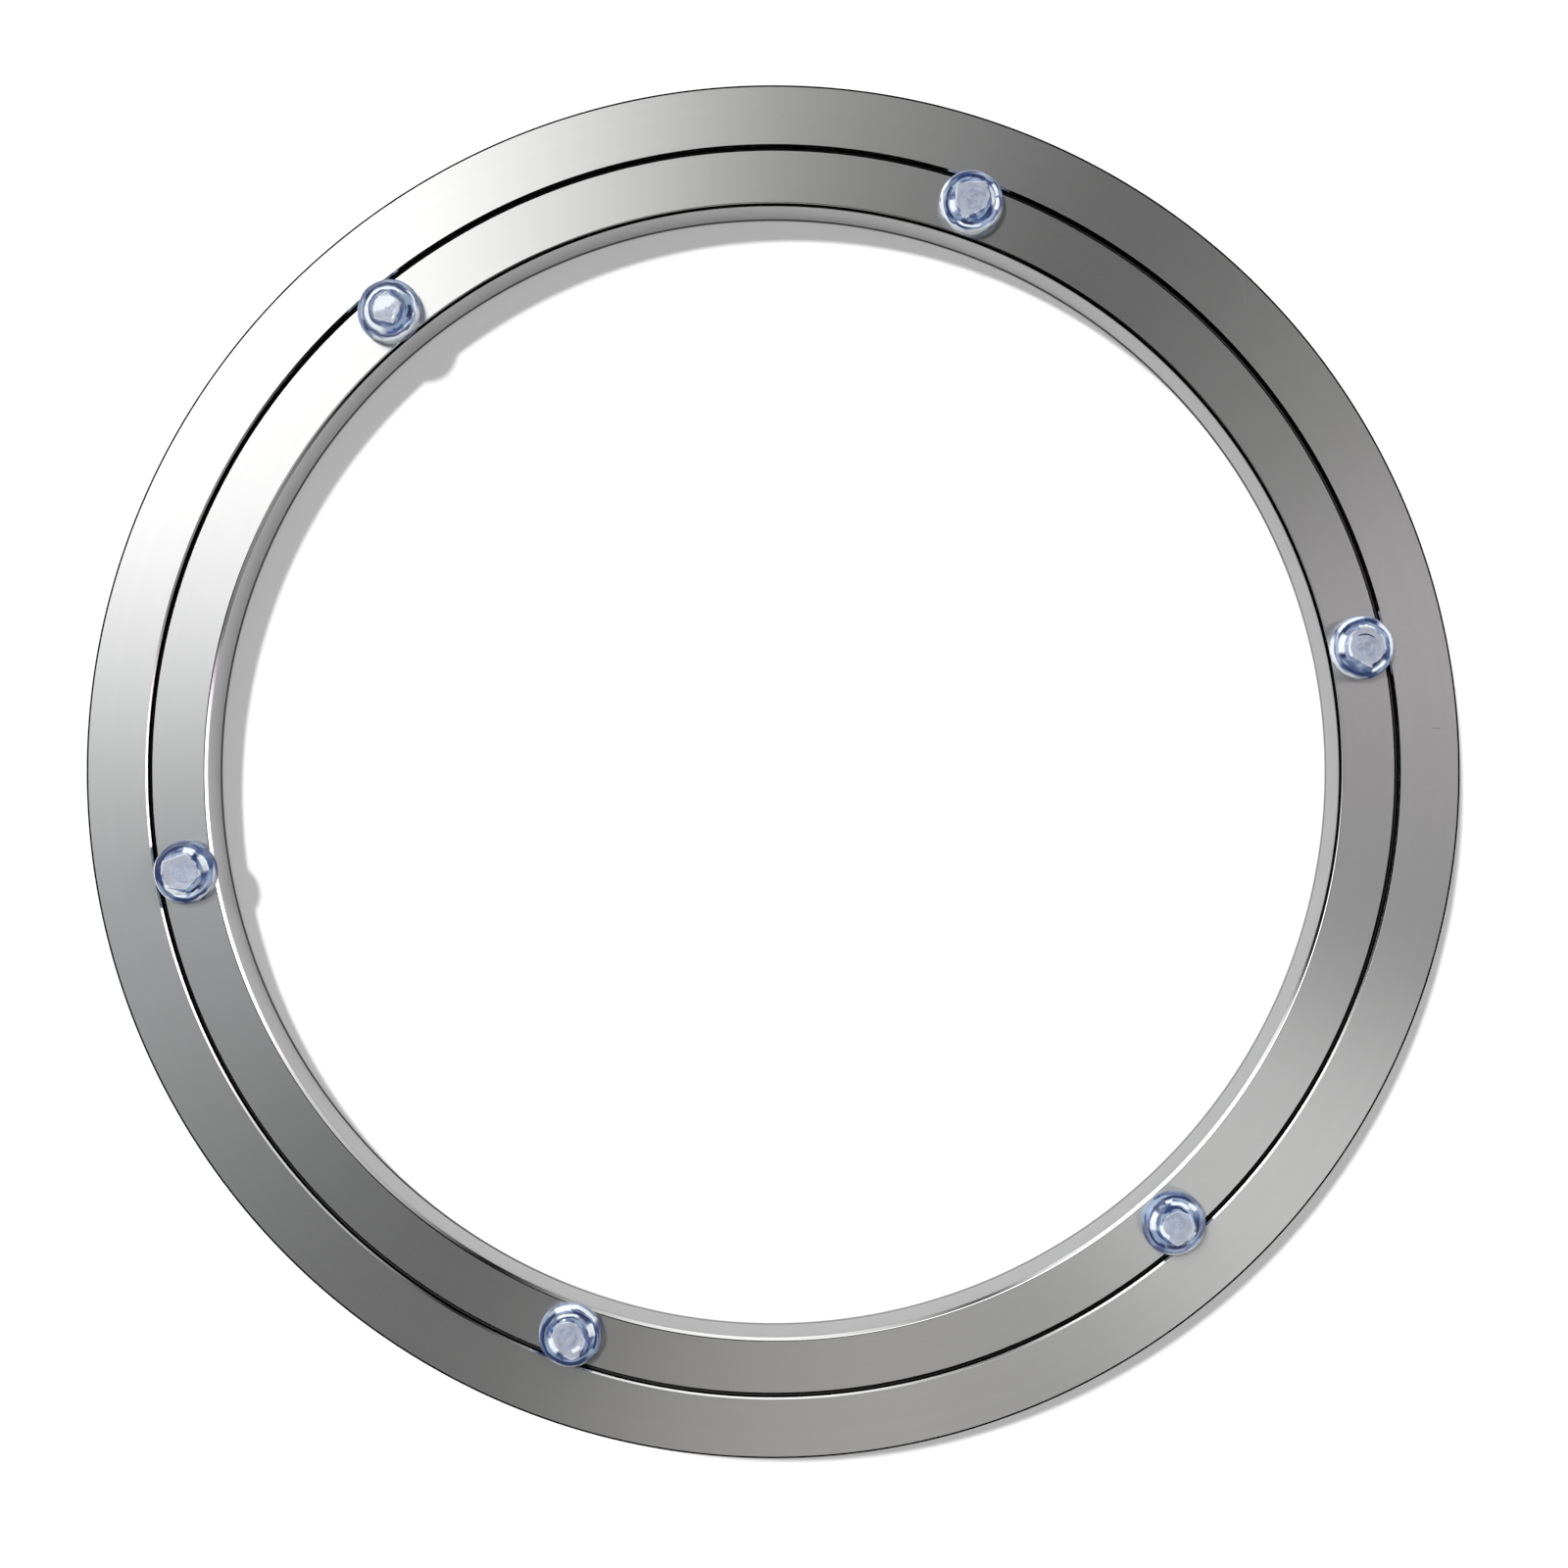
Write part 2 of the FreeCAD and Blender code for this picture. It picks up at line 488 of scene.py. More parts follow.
def turned_face(name, dark, light, scratched):
    """The flat faces: aluminium with the fine round lines that turning leaves."""

    def feeds(tree):
        radius = from_axis(tree)
        fine = line_noise(tree, radius, FINE_LINES)
        broad = line_noise(tree, radius, BROAD_LINES, detail=2.0)
        haze = noise(tree, waves=25)
        fine_part = math_of(tree, "MULTIPLY", fine, FINE_SHARE)
        broad_part = math_of(tree, "MULTIPLY", broad, 1 - FINE_SHARE)
        colour = blend_colours(tree, math_of(tree, "ADD", fine_part, broad_part), dark, light)
        dull = math_of(tree, "ADD", spread(tree, fine, 0.31, 0.35), spread(tree, haze, -0.012, 0.022))
        relief = fine
        if scratched:
            scratch = mark_on_face(tree, SCRATCH, SCRATCH_REACH)
            shown = math_of(tree, "MULTIPLY", scratch, SCRATCH_STRENGTH)
            colour = blend_colours(tree, shown, colour, SCRATCH_COLOUR)
            nick = math_of(tree, "MULTIPLY", mark_on_face(tree, NICK, NICK_REACH), NICK_STRENGTH)
            colour = blend_colours(tree, nick, colour, NICK_COLOUR)
            relief = math_of(tree, "SUBTRACT", fine, math_of(tree, "MULTIPLY", scratch, SCRATCH_DEPTH))
        return {
            "Base Color": colour,
            "Metallic": 0.87,
            "Roughness": dull,
            "Anisotropic": 0.92,
            "Anisotropic Rotation": 0.25,
            "Tangent": round_the_axis(tree),
            "Normal": bump(tree, relief, strength=0.25, depth=0.00001),
        }

    return material(name, feeds)


def drawn_wall(name, dark, light, metallic, dull, slant):
    """An upright wall: duller metal, with a fine grain that runs round the ring. Slant is how much of its
    shine it keeps at a slant."""

    def feeds(tree):
        grain = noise(tree, waves=900, stretch=(1, 1, 6))
        patches = noise(tree, waves=60)
        return {
            "Base Color": blend_colours(tree, patches, dark, light),
            "Metallic": metallic,
            "Specular Tint": (slant, slant, slant, 1.0),
            "Roughness": spread(tree, grain, dull, dull + 0.1),
            "Normal": bump(tree, grain, strength=0.3, depth=0.00002),
        }

    return material(name, feeds)


def cut_bevel(name, dark, light, dull, slant):
    """The narrow bevels at the edges, cut brighter than the faces, or painted near black as shade. Slant is
    how much of its shine a bevel keeps at a slant."""

    def feeds(tree):
        lines = line_noise(tree, from_axis(tree), waves=20000, detail=2.0)
        return {
            "Base Color": blend_colours(tree, lines, dark, light),
            "Metallic": 1.0,
            "Specular Tint": (slant, slant, slant, 1.0),
            "Roughness": spread(tree, lines, dull, dull + 0.04),
            "Normal": bump(tree, lines, strength=0.1, depth=0.000004),
        }

    return material(name, feeds)


def ring_finishes():
    """The materials of the outer ring and of the inner one, by kind of surface."""
    wall = drawn_wall(
        "drawn_aluminium", (0.46, 0.46, 0.465), (0.51, 0.51, 0.515), metallic=0.95, dull=0.55, slant=1.0
    )
    # Painted shade: the race and the gap's walls are painted near black, as the narrow gap is in shade
    race = drawn_wall(
        "race_painted_dark", (0.012, 0.012, 0.013), (0.022, 0.022, 0.023), metallic=1.0, dull=0.36, slant=0.0
    )
    satin = cut_bevel("satin_bevel", (0.85, 0.85, 0.85), (0.93, 0.93, 0.93), dull=0.09, slant=1.0)
    # Painted shade: the outer ring's rim bevel and the inner ring's gap bevel are painted near black
    painted_shade_bevel = cut_bevel("bevel_painted_dark", (0.015, 0.015, 0.016), (0.03, 0.03, 0.03), dull=0.07, slant=0.2)
    bright = cut_bevel("bright_bevel", (0.8, 0.8, 0.8), (0.88, 0.88, 0.88), dull=0.07, slant=1.0)
    outer_face = turned_face("turned_outer", (0.765, 0.765, 0.76), (0.815, 0.815, 0.811), scratched=True)
    inner_face = turned_face("turned_inner", (0.72, 0.72, 0.716), (0.77, 0.77, 0.767), scratched=False)
    shared = {"wall": wall, "race": race, "bevel": satin}
    outer = {"face": outer_face, "far_bevel": painted_shade_bevel, "gap_bevel": satin, **shared}
    inner = {"face": inner_face, "far_bevel": bright, "gap_bevel": painted_shade_bevel, **shared}
    return outer, inner


# The rings


def fillet(before, corner, after, size):
    """The points of the arc that rounds a corner, each with its outward normal."""
    back = (before - corner).normalized()
    onward = (after - corner).normalized()
    half_angle = back.angle(onward) / 2
    centre = corner + (back + onward).normalized() * size / math.sin(half_angle)
    first = (corner + back * size / math.tan(half_angle) - centre) / size
    last = (corner + onward * size / math.tan(half_angle) - centre) / size
    normals = [first.slerp(last, i / ROUNDING_STEPS) for i in range(ROUNDING_STEPS + 1)]
    return [(centre + normal * size, normal) for normal in normals]


def outline_sign(points):
    """1 for an outline that runs anticlockwise with the radius to the right and z up, or else -1."""
    area = sum(a.cross(b) for a, b in zip(points, points[1:] + points[:1]))
    return math.copysign(1, area)


def spans_of(corners):
    """An outline's short spans in order: start, end, the normals there, and the finish.

    A corner is its radius, its height, how much it is rounded and the finish of the edge after it. A
    rounding has the finish of the edge after it, or of the bevel before a face. Beside the bevel in the
    gap it has that of the other bevels.
    """
    points = [Vector((radius, z)) for radius, z, _, _ in corners]
    sign = outline_sign(points)
    arcs = []
    for i, (_, _, rounding, _) in enumerate(corners):
        after = points[(i + 1) % len(points)]
        arcs.append(fillet(points[i - 1], points[i], after, rounding) if rounding else [(points[i], None)])
    spans = []
    for i, (_, _, _, finish) in enumerate(corners):
        rounded = corners[i - 1][3] if finish == "face" else finish
        if rounded == "gap_bevel":
            rounded = "bevel"
        for (start, start_normal), (end, end_normal) in zip(arcs[i], arcs[i][1:]):
            spans.append((start, end, start_normal, end_normal, rounded))
        start = arcs[i][-1][0]
        end = arcs[(i + 1) % len(arcs)][0][0]
        along = (end - start).normalized()
        normal = Vector((along.y, -along.x)) * sign
        spans.append((start, end, normal, normal, finish))
    return spans, sign


def lathe(name, corners, finishes):
    """A mesh swept round the axis from an outline, with the true normal at every corner of its faces."""
    spans, sign = spans_of(corners)
    turns = [2 * math.pi * k / RING_SEGMENTS for k in range(RING_SEGMENTS)]
    compass = [(math.cos(turn), math.sin(turn)) for turn in turns]
    slots = list(finishes)
    points = [(start.x * c, start.x * s, start.y) for start, _, _, _, _ in spans for c, s in compass]
    faces, indices, normals = [], [], []
    for i, (_, _, start_normal, end_normal, finish) in enumerate(spans):
        here = i * RING_SEGMENTS
        there = (i + 1) % len(spans) * RING_SEGMENTS
        for k in range(RING_SEGMENTS):
            onward = (k + 1) % RING_SEGMENTS
            face = [(here + k, start_normal, k), (here + onward, start_normal, onward)]
            face += [(there + onward, end_normal, onward), (there + k, end_normal, k)]
            if sign < 0:
                face.reverse()
            faces.append([point for point, _, _ in face])
            normals += [(n.x * compass[at][0], n.x * compass[at][1], n.y) for _, n, at in face]
            indices.append(slots.index(finish))
    mesh = bpy.data.meshes.new(name)
    mesh.from_pydata(points, [], faces)
    mesh.polygons.foreach_set("material_index", indices)
    mesh.polygons.foreach_set("use_smooth", [True] * len(faces))
    mesh.normals_split_custom_set(normals)
    for finish in slots:
        mesh.materials.append(finishes[finish])
    return add_object(name, mesh)


def ring_corners(side, name, far_chamfer, far_rounding, wall_rounding):
    """The outline of one ring: side is RIGHT for the outer ring, whose far wall is its outside, or else
    LEFT. The far bevel's corners are rounded by far_rounding at the face and wall_rounding at the wall."""
    least, most = reach(name)
    wall, far = (least, most) if side == RIGHT else (most, least)
    bottom, top = heights(name)
    retainer_least, retainer_most = reach("ball_retainer")
    race_radius = (retainer_least + retainer_most) / 2
    retainer_bottom, retainer_top = heights("ball_retainer")
    race_height = (retainer_bottom + retainer_top) / 2
    ball_low, ball_high = heights("ball_01")
    channel = race_radius + side * ((retainer_most - retainer_least) / 2 + RETAINER_PLAY)
    groove_radius = (ball_high - ball_low) / 2 + BALL_PLAY
    half_angle = math.acos(abs(channel - race_radius) / groove_radius)
    corners = [
        (channel, retainer_top + RETAINER_PLAY, 0, "race"),
        (wall, retainer_top + RETAINER_PLAY, 0, "race"),
        (wall, top - GAP_CHAMFER, WALL_ROUNDING, "gap_bevel"),
        (wall + side * GAP_CHAMFER, top, FINE_ROUNDING, "face"),
        (far - side * far_chamfer, top, far_rounding, "far_bevel"),
        (far, top - far_chamfer, wall_rounding, "wall"),
        (far, bottom + BASE_CHAMFER, FINE_ROUNDING, "bevel"),
        (far - side * BASE_CHAMFER, bottom, FINE_ROUNDING, "face"),
        (wall + side * GAP_CHAMFER, bottom, FINE_ROUNDING, "bevel"),
        (wall, bottom + GAP_CHAMFER, FINE_ROUNDING, "race"),
        (wall, retainer_bottom - RETAINER_PLAY, 0, "race"),
        (channel, retainer_bottom - RETAINER_PLAY, 0, "race"),
    ]
    for i in range(GROOVE_STEPS + 1):
        angle = half_angle * (2 * i / GROOVE_STEPS - 1)
        across = race_radius + side * groove_radius * math.cos(angle)
        corners.append((across, race_height + groove_radius * math.sin(angle), 0, "race"))
    return corners


def make_rings():
    """Both rings, in place of their plain solids."""
    outer, inner = ring_finishes()
    rings = (
        ("outer_ring", RIGHT, (RIM_CHAMFER, RIM_ROUNDING, RIM_ROUNDING), outer),
        ("inner_ring", LEFT, (HOLE_CHAMFER, HOLE_ROUNDING, HOLE_WALL_ROUNDING), inner),
    )
    for body, side, far_edge, finishes in rings:
        ring = lathe("turned_" + body, ring_corners(side, body, *far_edge), finishes)
        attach(ring, body)
        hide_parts(body)


# The bumpers


def round_the_middle(tree):
    """The direction from a bumper's middle, and the share of its radius there, both a little wavy."""
    place = node(tree, "TexCoord").outputs["Generated"]
    waves = node(tree, "TexNoise", {"Vector": place, "Scale": WANDER_WAVES, "Detail": 1.5}).outputs["Color"]
    waves = vector_of(tree, "SUBTRACT", waves, MIDDLE)
    arm = vector_of(tree, "SUBTRACT", place, MIDDLE)
    arm = vector_of(tree, "MULTIPLY_ADD", waves, (WANDER, WANDER, 0), arm)
    arm = vector_of(tree, "MULTIPLY", arm, (2, 2, 0))
    return vector_of(tree, "NORMALIZE", arm), measure_of(tree, "LENGTH", arm)


def swirl(tree, way, share, seed, turns, waves):
    """Noise from 0 to 1 that runs in rings round the middle of a piece: coarse round it, fine outwards."""
    way = scaled(tree, way, turns)
    lift = node(tree, "CombineXYZ", {"Z": math_of(tree, "MULTIPLY", share, waves)}).outputs[0]
    place = vector_of(tree, "ADD", vector_of(tree, "ADD", way, lift), (seed, seed, seed))
    return node(tree, "TexNoise", {"Vector": place, "Scale": 1.0, "Detail": 2.0}).outputs["Fac"]


def painted_marks(tree, way, share, marks):
    """1 on the curved marks of painted highlight or painted dark reflection, and 0 away from them."""
    total = 0.0
    for degrees, out, half_length, half_width in marks:
        turn = math.radians(degrees)
        middle = (math.cos(turn), math.sin(turn), 0)
        along = measure_of(tree, "DOT_PRODUCT", way, middle)
        across = math_of(tree, "ABSOLUTE", math_of(tree, "SUBTRACT", share, out))
        ends = [math.cos(math.radians(half_length * part)) for part in MARK_ENDS]
        sides = [half_width * part for part in MARK_SIDES]
        mark = math_of(tree, "MULTIPLY", ramp(tree, along, *ends), ramp(tree, across, *sides))
        total = math_of(tree, "MAXIMUM", mark, total)
    return total


def clear_plastic(name, number, low, high, start, end, clearness, dull, paler):
    """Clear soft plastic with a blue tint and flow lines that run round in its skin, coloured as painted
    reflections.

    Its colour runs from low to high as the flow runs from start to end, its clearness is what light it
    lets through, and paler is how much paler it gets outwards.
    """

    def feeds(tree):
        way, share = round_the_middle(tree)
        flow = swirl(tree, way, share, seed=number, turns=1.2, waves=8)
        # The flow paints streaks of reflection, dark and light, into the colour
        body = blend_colours(tree, ramp(tree, flow, start, end), low, high)
        dark = painted_marks(tree, way, share, PAINTED_DARK_REFLECTIONS[number])
        pale = painted_marks(tree, way, share, PAINTED_HIGHLIGHTS[number])
        body = blend_colours(tree, ramp(tree, share, *PALER_SPAN, 0.0, paler), body, PALER_COLOUR)
        cloud = ramp(tree, noise(tree, waves=180, detail=1.0), *CLOUD_SPAN, 0.0, CLOUD_STRENGTH)
        body = blend_colours(tree, cloud, body, CLOUD_COLOUR)
        # Painted dark reflections and painted highlights over the body's colour
        body = blend_colours(tree, dark, body, PAINTED_DARK_REFLECTION_COLOUR)
        body = blend_colours(tree, pale, body, PAINTED_HIGHLIGHT_COLOUR)
        painted_mask = math_of(tree, "MAXIMUM", dark, pale)
        return {
            "Base Color": body,
            "Roughness": spread(tree, flow, dull, dull + 0.04),
            "IOR": 1.49,
            "Transmission Weight": ramp(tree, painted_mask, 0.0, 1.0, clearness, 0.0),
            "Normal": bump(tree, flow, strength=0.35, depth=0.0002),
        }

    return material(name, feeds)


def adhesive():
    """The film that a bumper is stuck on with, seen through it: pale in the middle, darker round it."""

    def feeds(tree):
        _, share = round_the_middle(tree)
        cloud = noise(tree, waves=300)
        pale = blend_colours(tree, cloud, (0.72, 0.74, 0.82), (0.82, 0.83, 0.89))
        return {
            "Base Color": blend_colours(tree, ramp(tree, share, 0.68, 0.8), pale, (0.2, 0.25, 0.37)),
            "Roughness": spread(tree, cloud, 0.35, 0.6),
            "Normal": bump(tree, cloud, strength=0.15, depth=0.0001),
        }

    return material("adhesive_film", feeds)


def crossing(angle, first, second):
    """How far out a ray at this angle meets the straight line between two polar points."""
    (angle_a, radius_a), (angle_b, radius_b) = first, second
    a = Vector((radius_a * math.cos(angle_a), radius_a * math.sin(angle_a)))
    b = Vector((radius_b * math.cos(angle_b), radius_b * math.sin(angle_b)))
    edge = b - a
    ray = Vector((math.cos(angle), math.sin(angle)))
    return a.cross(edge) / ray.cross(edge)


def next_round(corners):
    """Each corner with the one after it, whose angle is always the greater."""
    angle, *rest = corners[0]
    return zip(corners, corners[1:] + [(angle + 2 * math.pi, *rest)])


def ridge_of(chance, corners):
    """The ridge between the shoulder's two tiers, with a corner half-way between those of the top: its
    angle, its share of the radius and how far up the shoulder it is."""
    ridge = []
    for first, second in next_round(corners):
        angle = (first[0] + second[0]) / 2
        share = RIDGE_SHARE + chance.uniform(*RIDGE_PLAY)
        ridge.append((angle, share, chance.uniform(*RIDGE_HEIGHTS)))
    return ridge


def on_edge(corners, angle):
    """How far out the straight edges between corners are in one direction, and how high."""
    angle = corners[0][0] + (angle - corners[0][0]) % (2 * math.pi)
    for first, second in next_round(corners):
        if first[0] <= angle <= second[0]:
            part = (angle - first[0]) / (second[0] - first[0])
            return crossing(angle, first[:2], second[:2]), first[2] * (1 - part) + second[2] * part
    raise ValueError("no edge at this angle")


def bumper_columns(chance, number):
    """The directions of a bumper's points round it, each with the top's share of the radius there, and
    the ridge's share and height."""
    corners = [(math.radians(degrees), share, 1.0) for degrees, share in TOP_CORNERS[number]]
    ridge = ridge_of(chance, corners)
    columns = []
    for first, second in next_round(corners):
        for i in range(FACET_COLUMNS):
            angle = first[0] + (second[0] - first[0]) * i / FACET_COLUMNS
            top_share = crossing(angle, first[:2], second[:2])
            columns.append((angle, top_share, *on_edge(ridge, angle)))
    return columns


def ripple(chance, sizes):
    """A smooth wobble round a circle, as a function of the angle, with a random phase for each size."""
    waves = [(turns, size, chance.uniform(0, 2 * math.pi)) for turns, size in sizes.items()]
    return lambda angle: sum(size * math.sin(turns * angle + phase) for turns, size, phase in waves)


def between(first, second, steps):
    """Evenly spaced points from the first, left out, to the second."""
    return [first.lerp(second, i / steps) for i in range(1, steps + 1)]


def bumper_rows(chance, columns, radius, height):
    """The rings of points of a bumper from the top's dish down to its base: a distance and height each."""
    rim_radius = (RIM_OVERHANG**2 + RIM_BULGE_HEIGHT**2) / (2 * RIM_OVERHANG)
    rim_centre = radius - rim_radius
    groove = radius - RIM_WIDTH
    groove_angle = math.acos((groove - rim_centre) / rim_radius)
    groove_height = RIM_BULGE_HEIGHT + rim_radius * math.sin(groove_angle)
    base_angle = -math.asin((RIM_BULGE_HEIGHT - LIFT) / rim_radius)
    wobble = ripple(chance, RIM_WAVES)
    profiles = []
    for angle, top_share, ridge_share, ridge_height in columns:
        edge = Vector((radius * top_share, height))
        ridge = Vector((radius * ridge_share, groove_height + (height - groove_height) * ridge_height))
        foot = Vector((groove, groove_height))
        profile = [Vector((share * edge.x, height - depth)) for share, depth in TOP_DISH[1:]]
        profile += between(edge, ridge, TIER_STEPS) + between(ridge, foot, TIER_STEPS)[:-1]
        for i in range(RIM_STEPS + 1):
            t = i / RIM_STEPS
            turn = groove_angle + (base_angle - groove_angle) * t
            inwards = abs(wobble(angle + t)) * math.sin(math.pi * t) ** 2
            out = rim_centre + rim_radius * math.cos(turn) - inwards
            upwards = wobble(angle + RIM_WAVES_APART + t) * (1 - t)
            profile.append(Vector((out, RIM_BULGE_HEIGHT + rim_radius * math.sin(turn) + upwards)))
        profiles.append(profile)
    return [list(row) for row in zip(*profiles)]


def solid_of_rings(name, middle, base, columns, rows, top_height, bottom_height):
    """A closed mesh of rings of points round an upright line, with a point in the middle at both ends."""
    points = [(middle.x, middle.y, base + top_height)]
    for row in rows:
        for (angle, *_), (out, up) in zip(columns, row):
            points.append((middle.x + out * math.cos(angle), middle.y + out * math.sin(angle), base + up))
    points.append((middle.x, middle.y, base + bottom_height))
    count = len(columns)
    last = len(points) - 1
    faces = [(0, 1 + k, 1 + (k + 1) % count) for k in range(count)]
    for i in range(len(rows) - 1):
        here = 1 + i * count
        there = here + count
        for k in range(count):
            onward = (k + 1) % count
            faces.append((here + k, there + k, there + onward, here + onward))
    here = 1 + (len(rows) - 1) * count
    faces += [(here + (k + 1) % count, here + k, last) for k in range(count)]
    mesh = bpy.data.meshes.new(name)
    mesh.from_pydata(points, [], faces)
    mesh.polygons.foreach_set("use_smooth", [True] * len(faces))
    mesh.set_sharp_from_angle(angle=math.radians(SHARP_DEGREES))
    return add_object(name, mesh)


def make_film(number, middle, base, columns, finish):
    """The round adhesive film under one bumper."""
    rows = [[(FILM_RADIUS, up)] * len(columns) for up in (FILM_TOP, FILM_BOTTOM)]
    film = solid_of_rings(f"film_{number}", middle, base, columns, rows, FILM_TOP, FILM_BOTTOM)
    film.data.materials.append(finish)
    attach(film, "inner_ring")


def make_bumper(number, film_finish):
    """One bumper: a many-sided top, facets down to a round rim, and the film under it."""
    chance = random.Random(SEED + number)
    name = f"bumper_{number}"
    low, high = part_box(name)
    middle = (low + high) / 2
    radius = (high.x - low.x) / 2
    height = high.z - low.z
    columns = bumper_columns(chance, number)
    rows = bumper_rows(chance, columns, radius, height)
    _, dish_depth = TOP_DISH[0]
    made = solid_of_rings("clear_" + name, middle, low.z, columns, rows, height - dish_depth, LIFT)
    for part, looks in CLEAR_PLASTICS.items():
        made.data.materials.append(clear_plastic(f"bumper_{part}_{number}", number, **looks))
    top_faces = len(columns) * (len(TOP_DISH) - 2)
    edge_faces = len(columns)
    side_faces = len(made.data.polygons) - top_faces - edge_faces
    made.data.polygons.foreach_set("material_index", [0] * top_faces + [1] * edge_faces + [2] * side_faces)
    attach(made, "inner_ring")
    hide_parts(name)
    make_film(number, middle, low.z, columns, film_finish)


def make_bumpers():
    """All the bumpers, on films that share a material."""
    film_finish = adhesive()
    for number in TOP_CORNERS:
        make_bumper(number, film_finish)


# The small parts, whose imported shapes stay


def polished_steel():
    """Bearing steel, polished, with faint haze."""

    def feeds(tree):
        haze = noise(tree, waves=1500)
        return {
            "Base Color": blend_colours(tree, haze, (0.68, 0.68, 0.69), (0.75, 0.75, 0.76)),
            "Metallic": 1.0,
            "Roughness": spread(tree, haze, 0.06, 0.14),
            "Normal": bump(tree, haze, strength=0.05, depth=0.00001),
        }

    return material("polished_steel", feeds)


def moulded_plastic():
    """The retainer's moulded plastic, with a fine grain."""

    def feeds(tree):
        grain = noise(tree, waves=2500)
        patches = noise(tree, waves=80)
        return {
            "Base Color": blend_colours(tree, patches, (0.02, 0.02, 0.022), (0.035, 0.035, 0.037)),
            "Roughness": spread(tree, grain, 0.45, 0.6),
            "Normal": bump(tree, grain, strength=0.3, depth=0.00003),
        }

    return material("moulded_plastic", feeds)


def foot_rubber():
    """Matt black rubber with a pebbled skin."""

    def feeds(tree):
        pebbles = noise(tree, waves=3000)
        dust = noise(tree, waves=200)
        return {
            "Base Color": blend_colours(tree, dust, (0.035, 0.035, 0.035), (0.07, 0.068, 0.065)),
            "Roughness": spread(tree, pebbles, 0.75, 0.95),
            "Normal": bump(tree, pebbles, strength=0.5, depth=0.00005),
        }

    return material("foot_rubber", feeds)


def finish_small_parts():
    """Gives the balls, the retainer and the foot pads their materials."""
    steel = polished_steel()
    plastic = moulded_plastic()
    rubber = foot_rubber()
    for name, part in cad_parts.items():
        if name == "ball_retainer":
            finish = plastic
        elif name.startswith("ball_"):
            finish = steel
        elif name.startswith("foot_pad_"):
            finish = rubber
        else:
            continue
        part.data.materials.clear()
        part.data.materials.append(finish)


# The studio


def direction_to(azimuth, tilt):
    """The unit vector towards a place in the sky: degrees round from +X, and down from overhead."""
    a, t = math.radians(azimuth), math.radians(tilt)
    return Vector((math.sin(t) * math.cos(a), math.sin(t) * math.sin(a), math.cos(t)))


def soft_light(tree, sky, azimuth, tilt, core, edge, strength, tint):
    """A round soft light in the sky, even out to core degrees from its middle and gone at edge degrees."""
    towards = measure_of(tree, "DOT_PRODUCT", sky, direction_to(azimuth, tilt))
    angle = math_of(tree, "ARCCOSINE", towards)
    level = ramp(tree, angle, math.radians(edge), math.radians(core), 0.0, strength)
    return scaled(tree, tint, level)


def make_sky():
    """A dark studio with soft lights in it, for metal and glass. The eye sees white behind, and metal and
    glass see it along the horizon."""
    world = bpy.data.worlds.new("studio")
    bpy.context.scene.world = world
    world.cycles_visibility.diffuse = False
    tree = fresh_tree(world)
    sky = node(tree, "TexCoord").outputs["Generated"]
    lights = [soft_light(tree, sky, *light) for light in LIGHTS.values()]
    total = lights[0]
    for light in lights[1:]:
        total = vector_of(tree, "ADD", total, light)
    studio = node(tree, "Background", {"Color": total, "Strength": 1.0})
    white = node(tree, "Background", {"Color": (1, 1, 1, 1), "Strength": 1.0})
    path = node(tree, "LightPath")
    upwards = node(tree, "SeparateXYZ", {0: sky}).outputs["Z"]
    low_band = ramp(tree, upwards, *(math.sin(math.radians(degrees)) for degrees in HORIZON_BAND))
    gloss = math_of(tree, "MAXIMUM", path.outputs["Is Glossy Ray"], path.outputs["Is Transmission Ray"])
    banded = math_of(tree, "MULTIPLY", gloss, low_band)
    seen = math_of(tree, "MAXIMUM", path.outputs["Is Camera Ray"], banded)
    mixed = node(tree, "MixShader", {0: seen, 1: studio.outputs[0], 2: white.outputs[0]})
    node(tree, "OutputWorld", {"Surface": mixed.outputs[0]})


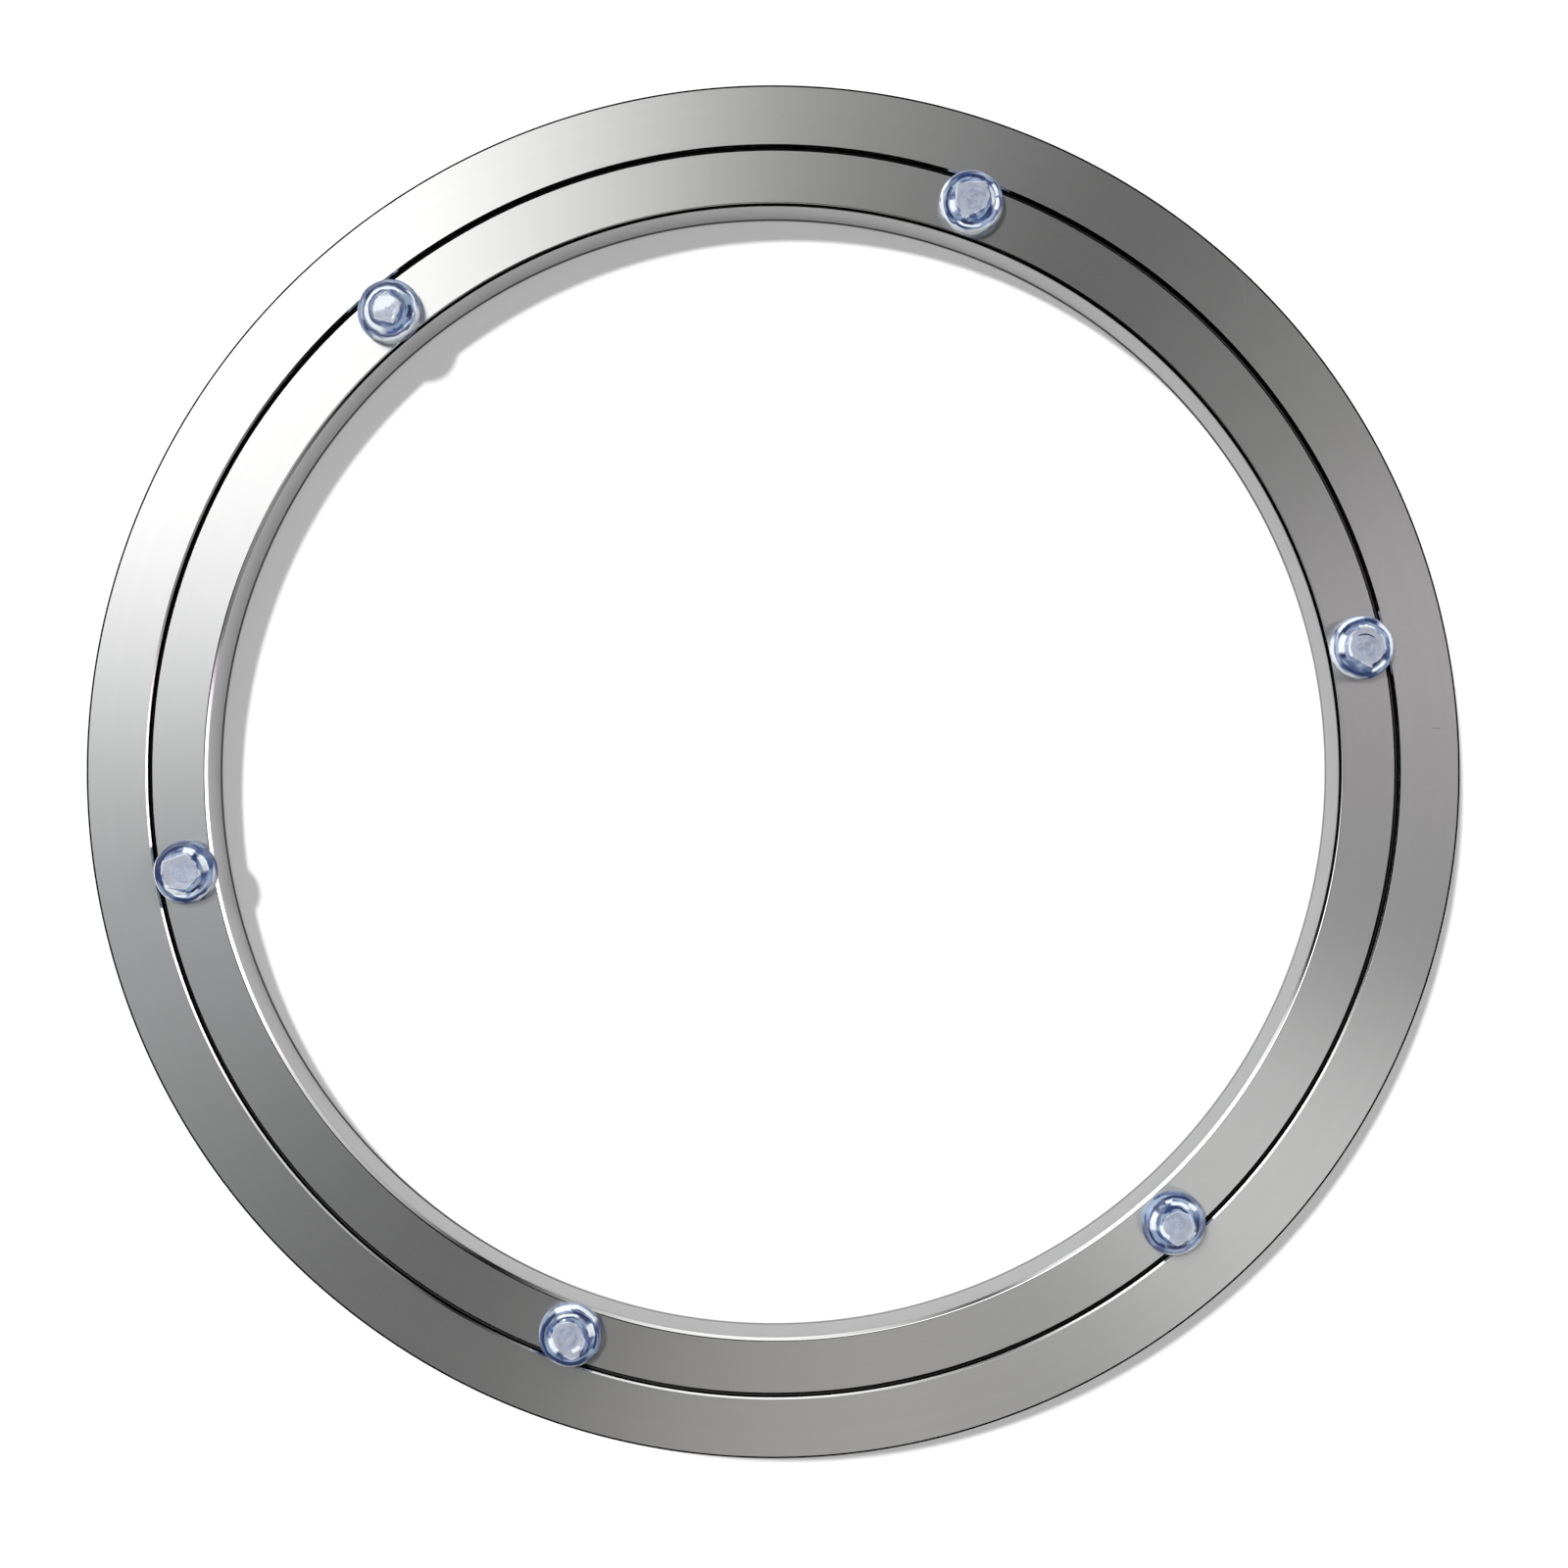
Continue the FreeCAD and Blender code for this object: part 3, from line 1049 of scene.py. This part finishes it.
def make_lamps():
    """The lamp at the upper left that casts the ring's shadow, and a wide soft one overhead."""
    for name, (azimuth, tilt, width, strength) in LAMPS.items():
        lamp = bpy.data.lights.new(name, "SUN")
        lamp.energy = strength
        lamp.angle = math.radians(width)
        holder = add_object(name, lamp)
        holder.rotation_mode = "QUATERNION"
        holder.rotation_quaternion = direction_to(azimuth, tilt).to_track_quat("Z", "Y")
        holder.visible_glossy = False


def floor_finish():
    """Pale and matt, with a glow that makes up what the floor lacks of white. Under the rings it is painted
    dark as shade and has no glow."""
    made = bpy.data.materials.new("floor")
    tree = fresh_tree(made)
    hole, _ = reach("inner_ring")
    _, rim = reach("outer_ring")
    radius = from_axis(tree)
    within_rim = ramp(tree, radius, rim, rim - UNDER_SHADE)
    covered = math_of(tree, "MULTIPLY", ramp(tree, radius, hole, hole + UNDER_SHADE), within_rim)
    # painted shade on the floor under the rings
    matt = node(tree, "BsdfDiffuse", {"Color": blend_colours(tree, covered, FLOOR_COLOUR, FLOOR_PAINTED_SHADE)})
    path = node(tree, "LightPath")
    seen = math_of(tree, "MAXIMUM", path.outputs["Is Camera Ray"], path.outputs["Is Glossy Ray"])
    seen = math_of(tree, "MAXIMUM", seen, path.outputs["Is Transmission Ray"])
    open_floor = math_of(tree, "SUBTRACT", 1.0, covered)
    strength = math_of(tree, "MULTIPLY", math_of(tree, "MULTIPLY", seen, open_floor), FLOOR_GLOW)
    glow = node(tree, "Emission", {"Color": (1, 1, 1, 1), "Strength": strength})
    both = node(tree, "AddShader", {0: matt.outputs[0], 1: glow.outputs[0]})
    node(tree, "OutputMaterial", {"Surface": both.outputs[0]})
    return made


def make_floor():
    """A wide square floor that takes the shadow."""
    half = FLOOR_HALF_WIDTH
    corners = [(-half, -half, 0), (half, -half, 0), (half, half, 0), (-half, half, 0)]
    mesh = bpy.data.meshes.new("floor")
    mesh.from_pydata(corners, [], [(0, 1, 2, 3)])
    mesh.materials.append(floor_finish())
    add_object("floor", mesh)


def make_camera():
    """The camera over the ring."""
    lens = bpy.data.cameras.new("camera")
    lens.sensor_width = CAMERA_SENSOR
    lens.lens = CAMERA_LENS
    lens.clip_start = CAMERA_NEAR
    camera = add_object("camera", lens)
    camera.location = CAMERA_PLACE
    bpy.context.scene.camera = camera


make_camera()
make_sky()
make_lamps()
make_floor()
make_rings()
make_bumpers()
finish_small_parts()
bpy.context.scene.view_settings.view_transform = "Standard"
